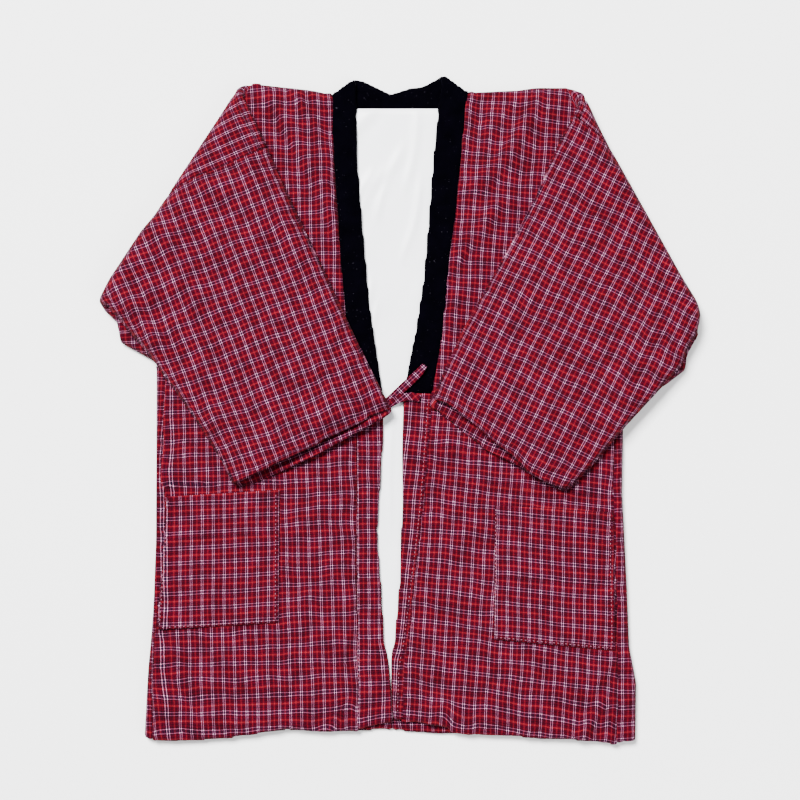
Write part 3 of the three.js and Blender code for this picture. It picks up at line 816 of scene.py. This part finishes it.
def tie(side):
    node = "tie_" + side
    ob = cut_finely(node, 2)
    p = points(ob)
    row = TIE_TURN[side]
    turn = np.radians(row["turn"])
    x, y = p[:, 0] - row["x"], p[:, 1] - row["y"]
    p[:, 0] = row["x"] + x * np.cos(turn) - y * np.sin(turn)
    p[:, 1] = row["y"] + x * np.sin(turn) + y * np.cos(turn)
    under = [trees[n] for n in ("band_left", "collar_left", "front_left")]
    below = height_on(under, p[:, 0], p[:, 1], 0)
    lift = np.maximum(below + 0.3 - (p[:, 2] - TIE_THICK / 2), 0)
    lift = np.array([lift[np.hypot(*(p[:, :2] - q).T) < TIE_STIFF].max() for q in p[:, :2]])
    p[:, 2] += lift
    place(ob, p)
    lay_check(ob, node, p, 0)
    finished(ob, "SUBSURF", "smooth", levels=1, render_levels=1)
    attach(ob, "root")
    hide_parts(node)
    return ob


ties = {side: tie(side) for side in SIDES}

# %% Lining of the back
LINING_FOLDS = [
    fold(-75, 330, -30, 375, bow=4, width=4, high=2.6),
    fold(-72, 300, -20, 372, bow=5, width=3.5, high=-1.6),
    fold(-64, 246, -34, 300, bow=3, width=3, high=3.2),
    fold(-60, 236, -38, 276, bow=3, width=2.5, high=-1.8),
    fold(-58, 222, -22, 300, bow=6, width=3, high=2.8),
    fold(-54, 200, -10, 300, bow=8, width=3.5, high=-1.8),
    fold(-30, 240, 5, 330, bow=6, width=4, high=2.4),
    fold(-46, 60, -36, 160, bow=2, width=3, high=2.6),
    fold(-36, 90, -28, 130, bow=2, width=2.5, high=2.4),
    fold(6, 280, 22, 370, bow=-4, width=4, high=2.0),
    fold(2, 190, 26, 290, bow=-5, width=3, high=2.4),
    fold(12, 150, 30, 250, bow=-3, width=3, high=-1.6),
    fold(-12, -150, -8, 10, bow=3, width=4, high=1.4),
]
lining = cut_finely("back_lining", 5)
for _ in range(2):
    subdivided(lining, 1)
lining.name = "satin_lining"
p = points(lining)
lift = fold_height(LINING_FOLDS, p[:, 0], p[:, 1]) + 0.25 * uneven(p[:, 0], p[:, 1], 41, 50)
p[:, 2] += np.clip(lift, -0.2, 3.6)
print("lining from", p.min(axis=0).round(1), "to", p.max(axis=0).round(1))
top = p[:, 1].max()
p[:, 1] = np.interp(p[:, 1], [p[:, 1].min(), -300, 300, top], [-394, -300, 300, top + 5])
place(lining, p)  # its edges are hidden, so it needs no tug
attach(lining, "root")
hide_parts("back_lining")

# %% [markdown]
# ## Stitches
#
# The pockets and the band are sewn on with running stitches that show on the right side as a
# line of short light dashes. One stitch is modelled, a slim bead of thread that dips into the
# cloth at both ends, and copied along each seam. Every copy sits on the cloth that a ray from
# above hits.

# %% Seams that show their stitches
STITCH = {"length": 2.6, "step": 5.2, "thick": 0.55}
SEAMS = {
    "stitches_pocket_right": {
        "on": "pocket_right_cloth",
        "line": [(-290.5, -116), (-297.5, -278.5), (-158.5, -269.7), (-157.5, -107)],
    },
    "stitches_pocket_left": {
        "on": "pocket_left_cloth",
        "line": [(121.5, -127), (120.5, -290.8), (269.5, -305), (266.5, -136)],
    },
    "stitches_band_right": {
        "on": "padded_band_right",
        "line": [(-53.5, -45), (-53.5, -232), (-52.5, -392)],
    },
    "stitches_band_left": {
        "on": "padded_band_left",
        "line": [(35.5, 12), (26.5, -119), (15.5, -217), (3.5, -330), (0.8, -386)],
    },
}


def one_stitch():
    bpy.ops.object.select_all(action="DESELECT")
    radius = STITCH["length"] / 2 / 1000
    bpy.ops.mesh.primitive_ico_sphere_add(subdivisions=2, radius=radius, location=(0, 0, 0))
    ob = bpy.context.object
    slim = STITCH["thick"] / STITCH["length"]
    bpy.ops.object.mode_set(mode="EDIT")
    bpy.ops.mesh.select_all(action="SELECT")
    bpy.ops.transform.resize(value=(1, slim, slim))
    bpy.ops.object.mode_set(mode="OBJECT")
    bpy.ops.object.shade_smooth()
    return ob


def stitch_at(pattern, spot, turn):
    copy = pattern.copy()
    copy.data = pattern.data.copy()
    bpy.context.scene.collection.objects.link(copy)
    q = points(copy) - SHIFT
    x = q[:, 0] * np.cos(turn) - q[:, 1] * np.sin(turn) + spot[0]
    y = q[:, 0] * np.sin(turn) + q[:, 1] * np.cos(turn) + spot[1]
    place(copy, np.column_stack([x, y, q[:, 2] + spot[2]]))
    return copy


def stitch_row(name, row, pattern):
    tree = skin_tree(bpy.data.objects[row["on"]])
    copies = []
    for a, b in zip(row["line"], row["line"][1:]):
        a, b = np.array(a, float), np.array(b, float)
        run = b - a
        turn = np.arctan2(run[1], run[0])
        for along in np.arange(STITCH["step"] / 2, np.linalg.norm(run), STITCH["step"]):
            spot = a + run * along / np.linalg.norm(run)
            spot = tugged(np.array([[spot[0], spot[1], 0.0]]))[0]
            height = height_on([tree], [spot[0]], [spot[1]], -1)[0]
            if height >= 0:
                copies.append(stitch_at(pattern, (spot[0], spot[1], height + 0.05), turn))
    only(copies[0])
    for copy in copies:
        copy.select_set(True)
    bpy.ops.object.join()
    copies[0].name = name
    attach(copies[0], "root")
    print(name, "has", len(copies), "stitches")
    return copies[0]


pattern = one_stitch()
stitches = [stitch_row(name, row, pattern) for name, row in SEAMS.items()]
bpy.data.objects.remove(pattern)

# %% [markdown]
# ## Finishes
#
# Three cloths are needed. So the shader lays out one colour ramp for each direction and mixes
# them, which makes the crossings of light lines pale and leaves all other light lines pink, as
# in real woven check. The velvet swallows light and only glows at its edges, which is what
# sheen does. The lining is smooth satin.

# %% Helpers for shader nodes
def add(tree, kind, inputs=None, **settings):
    made = tree.nodes.new(kind)
    for key, value in settings.items():
        setattr(made, key, value)
    for key, value in (inputs or {}).items():
        if isinstance(value, bpy.types.NodeSocket):
            tree.links.new(value, made.inputs[key])
        else:
            made.inputs[key].default_value = value
    return made


def maths(tree, operation, a, b=0.0):
    return add(tree, "ShaderNodeMath", {0: a, 1: b}, operation=operation).outputs[0]


def new_group(name, inputs, outputs):
    tree = bpy.data.node_groups.new(name, "ShaderNodeTree")
    for label, kind in inputs.items():
        tree.interface.new_socket(label, in_out="INPUT", socket_type="NodeSocket" + kind)
    for label, kind in outputs.items():
        tree.interface.new_socket(label, in_out="OUTPUT", socket_type="NodeSocket" + kind)
    return tree, tree.nodes.new("NodeGroupInput"), tree.nodes.new("NodeGroupOutput")


# %% Weave: threads over and under each other
def weave_group():
    tree, start, end = new_group(
        "weave", {"Place": "Vector", "Thread": "Float"}, {"Over": "Float", "Height": "Float"}
    )
    axes = add(tree, "ShaderNodeSeparateXYZ", {0: start.outputs["Place"]})
    turns = maths(tree, "DIVIDE", np.pi, start.outputs["Thread"])
    waves = [maths(tree, "SINE", maths(tree, "MULTIPLY", axes.outputs[i], turns)) for i in (0, 1)]
    both = maths(tree, "MULTIPLY", *waves)
    over = maths(tree, "ADD", maths(tree, "MULTIPLY", both, 0.35), 0.5)
    tree.links.new(over, end.inputs["Over"])
    tree.links.new(maths(tree, "ABSOLUTE", both), end.inputs["Height"])
    return tree


WEAVE = weave_group()


# %% Uneven dye: slow changes of colour over the cloth
def uneven_dye_group():
    tree, start, end = new_group(
        "uneven_dye", {"Place": "Vector", "Size": "Float"}, {"Shade": "Float"}
    )
    settings = {"Vector": start.outputs["Place"], "Scale": start.outputs["Size"], "Detail": 4.0}
    wide = add(tree, "ShaderNodeTexNoise", settings)
    tree.links.new(wide.outputs[0], end.inputs["Shade"])
    return tree


UNEVEN_DYE = uneven_dye_group()

# %% Colours of the check, in millimetres from the middle of a double line to that of a square
NAVY = (0.004, 0.0015, 0.010)
LIGHT = (0.40, 0.118, 0.215)
PALE = (0.22, 0.052, 0.11)  # the light threads that run crosswise show less
MAROON = (0.0075, 0.0001, 0.0026)
RED = (0.046, 0.0003, 0.0052)
EMBER = (0.17, 0.006, 0.011)
CROSSING = (0.95, 0.52, 0.72)
LENGTHWISE = [
    (0.00, NAVY), (0.85, NAVY), (1.0, LIGHT), (1.45, LIGHT), (1.6, MAROON), (2.6, MAROON),
    (2.8, RED), (3.9, RED), (4.1, MAROON), (4.7, MAROON), (4.9, RED), (6.4, RED),
    (6.55, EMBER), (7.0, EMBER),
]
CROSSWISE = [
    (0.00, NAVY), (1.35, NAVY), (1.5, PALE), (2.05, PALE), (2.2, MAROON), (3.5, MAROON),
    (3.7, RED), (5.2, RED), (5.4, MAROON), (6.2, MAROON), (6.4, RED), (8.1, RED),
    (8.4, EMBER), (9.1, EMBER),
]


def stripes(tree, position, stops):
    half = stops[-1][0]
    share = maths(tree, "DIVIDE", maths(tree, "PINGPONG", position, half), half)
    ramp = add(tree, "ShaderNodeValToRGB", {"Fac": share})
    while len(ramp.color_ramp.elements) < len(stops):
        ramp.color_ramp.elements.new(0.5)
    for element, (at, colour) in zip(ramp.color_ramp.elements, stops):
        element.position = at / half
        element.color = (*colour, 1)
    return ramp.outputs["Color"]


THREAD_PITCH = 0.62  # millimetres from thread to thread


def check_material():
    material = bpy.data.materials.new("woven_check")
    material.use_nodes = True
    tree = material.node_tree
    shader = tree.nodes["Principled BSDF"]
    cut = add(tree, "ShaderNodeUVMap", uv_map="cut").outputs[0]
    cut = add(tree, "ShaderNodeVectorMath", {0: cut, "Scale": 1000.0}, operation="SCALE").outputs[0]
    slub = add(tree, "ShaderNodeTexNoise", {"Vector": cut, "Scale": 0.35, "Detail": 3.0})
    wobble = maths(tree, "MULTIPLY", maths(tree, "SUBTRACT", slub.outputs[0], 0.5), 0.9)
    axes = add(tree, "ShaderNodeSeparateXYZ", {0: cut})
    across = maths(tree, "ADD", axes.outputs[0], wobble)
    along = maths(tree, "SUBTRACT", axes.outputs[1], wobble)
    weave = add(tree, "ShaderNodeGroup", {}, node_tree=WEAVE)
    weave.inputs["Thread"].default_value = THREAD_PITCH
    tree.links.new(cut, weave.inputs["Place"])
    woven = add(tree, "ShaderNodeMix", data_type="RGBA")
    tree.links.new(weave.outputs["Over"], woven.inputs["Factor"])
    threads = [stripes(tree, along, CROSSWISE), stripes(tree, across, LENGTHWISE)]
    tree.links.new(threads[0], woven.inputs[6])
    tree.links.new(threads[1], woven.inputs[7])
    greens = [add(tree, "ShaderNodeSeparateColor", {0: thread}).outputs[1] for thread in threads]
    both_light = maths(tree, "MULTIPLY", *greens)
    both_light = maths(tree, "MULTIPLY", both_light, 0.85 / LIGHT[1] / PALE[1])
    crossed = add(tree, "ShaderNodeMix", {6: woven.outputs[2], 7: (*CROSSING, 1)}, data_type="RGBA")
    tree.links.new(both_light, crossed.inputs["Factor"])
    dye = add(tree, "ShaderNodeGroup", {}, node_tree=UNEVEN_DYE)
    dye.inputs["Size"].default_value = 0.045
    tree.links.new(cut, dye.inputs["Place"])
    fine = add(tree, "ShaderNodeTexNoise", {"Vector": cut, "Scale": 0.9, "Detail": 2.0})
    shade = maths(tree, "ADD", maths(tree, "MULTIPLY", dye.outputs["Shade"], 1.3), 0.23)
    speckle = maths(tree, "ADD", maths(tree, "MULTIPLY", fine.outputs[0], 2.2), -0.1)
    shade = maths(tree, "MULTIPLY", shade, speckle)
    bright = add(tree, "ShaderNodeVectorMath", {0: crossed.outputs[2]}, operation="SCALE")
    tree.links.new(shade, bright.inputs["Scale"])
    tree.links.new(bright.outputs[0], shader.inputs["Base Color"])
    bump = add(tree, "ShaderNodeBump", {"Strength": 0.35, "Distance": 0.0003})
    relief = maths(tree, "ADD", weave.outputs["Height"], fine.outputs[0])
    tree.links.new(relief, bump.inputs["Height"])
    tree.links.new(bump.outputs[0], shader.inputs["Normal"])
    shader.inputs["Roughness"].default_value = 0.88
    shader.inputs["Specular IOR Level"].default_value = 0.03
    shader.inputs["Sheen Weight"].default_value = 0.015
    shader.inputs["Sheen Roughness"].default_value = 0.5
    shader.inputs["Sheen Tint"].default_value = (1.0, 0.75, 0.8, 1)
    return material


CHECK = check_material()


# %% Velvet
def velvet_material():
    material = bpy.data.materials.new("cotton_velvet")
    material.use_nodes = True
    tree = material.node_tree
    shader = tree.nodes["Principled BSDF"]
    spot = add(tree, "ShaderNodeTexCoord").outputs["Object"]
    dye = add(tree, "ShaderNodeGroup", {}, node_tree=UNEVEN_DYE)
    dye.inputs["Size"].default_value = 60.0
    tree.links.new(spot, dye.inputs["Place"])
    nap = add(tree, "ShaderNodeTexNoise", {"Vector": spot, "Scale": 900.0, "Detail": 3.0})
    lint = add(tree, "ShaderNodeTexNoise", {"Vector": spot, "Scale": 420.0, "Detail": 1.0})
    specks = add(tree, "ShaderNodeMapRange", {0: lint.outputs[0], 1: 0.74, 2: 0.80, 3: 0.0, 4: 1.0})
    shades = add(tree, "ShaderNodeMix", data_type="RGBA")
    shades.inputs[6].default_value = (0.0001, 0.0001, 0.0003, 1)
    shades.inputs[7].default_value = (0.0007, 0.0005, 0.0016, 1)
    tree.links.new(dye.outputs["Shade"], shades.inputs["Factor"])
    dusty = add(tree, "ShaderNodeMix", data_type="RGBA")
    dusty.inputs[7].default_value = (0.018, 0.016, 0.022, 1)
    tree.links.new(specks.outputs[0], dusty.inputs["Factor"])
    tree.links.new(shades.outputs[2], dusty.inputs[6])
    tree.links.new(dusty.outputs[2], shader.inputs["Base Color"])
    bump = add(tree, "ShaderNodeBump", {"Strength": 0.5, "Distance": 0.0006})
    tree.links.new(nap.outputs[0], bump.inputs["Height"])
    tree.links.new(bump.outputs[0], shader.inputs["Normal"])
    shader.inputs["Roughness"].default_value = 1.0
    shader.inputs["Specular IOR Level"].default_value = 0.005
    shader.inputs["Sheen Weight"].default_value = 0.008
    shader.inputs["Sheen Roughness"].default_value = 0.3
    shader.inputs["Sheen Tint"].default_value = (0.45, 0.45, 0.7, 1)
    return material


VELVET = velvet_material()


# %% Satin
def satin_material():
    material = bpy.data.materials.new("white_satin")
    material.use_nodes = True
    tree = material.node_tree
    shader = tree.nodes["Principled BSDF"]
    spot = add(tree, "ShaderNodeTexCoord").outputs["Object"]
    dye = add(tree, "ShaderNodeGroup", {}, node_tree=UNEVEN_DYE)
    dye.inputs["Size"].default_value = 9.0
    tree.links.new(spot, dye.inputs["Place"])
    shades = add(tree, "ShaderNodeMix", data_type="RGBA")
    shades.inputs[6].default_value = (0.78, 0.79, 0.83, 1)
    shades.inputs[7].default_value = (0.93, 0.935, 0.955, 1)
    tree.links.new(dye.outputs["Shade"], shades.inputs["Factor"])
    tree.links.new(shades.outputs[2], shader.inputs["Base Color"])
    weave = add(tree, "ShaderNodeGroup", {}, node_tree=WEAVE)
    weave.inputs["Thread"].default_value = 0.0005
    tree.links.new(spot, weave.inputs["Place"])
    bump = add(tree, "ShaderNodeBump", {"Strength": 0.12, "Distance": 0.0001})
    tree.links.new(weave.outputs["Height"], bump.inputs["Height"])
    tree.links.new(bump.outputs[0], shader.inputs["Normal"])
    shader.inputs["Roughness"].default_value = 0.38
    shader.inputs["Sheen Weight"].default_value = 0.1
    return material


SATIN = satin_material()


# %% Thread
def thread_material():
    material = bpy.data.materials.new("cotton_thread")
    material.use_nodes = True
    tree = material.node_tree
    shader = tree.nodes["Principled BSDF"]
    spot = add(tree, "ShaderNodeTexCoord").outputs["Object"]
    twist = add(tree, "ShaderNodeTexNoise", {"Vector": spot, "Scale": 1500.0, "Detail": 2.0})
    shades = add(tree, "ShaderNodeMix", data_type="RGBA")
    shades.inputs[6].default_value = (0.12, 0.015, 0.035, 1)
    shades.inputs[7].default_value = (0.42, 0.20, 0.29, 1)
    tree.links.new(twist.outputs[0], shades.inputs["Factor"])
    tree.links.new(shades.outputs[2], shader.inputs["Base Color"])
    bump = add(tree, "ShaderNodeBump", {"Strength": 0.4, "Distance": 0.0001})
    tree.links.new(twist.outputs[0], bump.inputs["Height"])
    tree.links.new(bump.outputs[0], shader.inputs["Normal"])
    shader.inputs["Roughness"].default_value = 0.7
    return material


THREAD = thread_material()

# %% Put the cloths on
for node, ob in skins.items():
    is_velvet = node.startswith("collar")
    ob.data.materials.append(VELVET if is_velvet else CHECK)
for ob in [*pockets.values(), *ties.values()]:
    ob.data.materials.append(CHECK)
for ob in stitches:
    ob.data.materials.clear()
    ob.data.materials.append(THREAD)
lining.data.materials.append(SATIN)
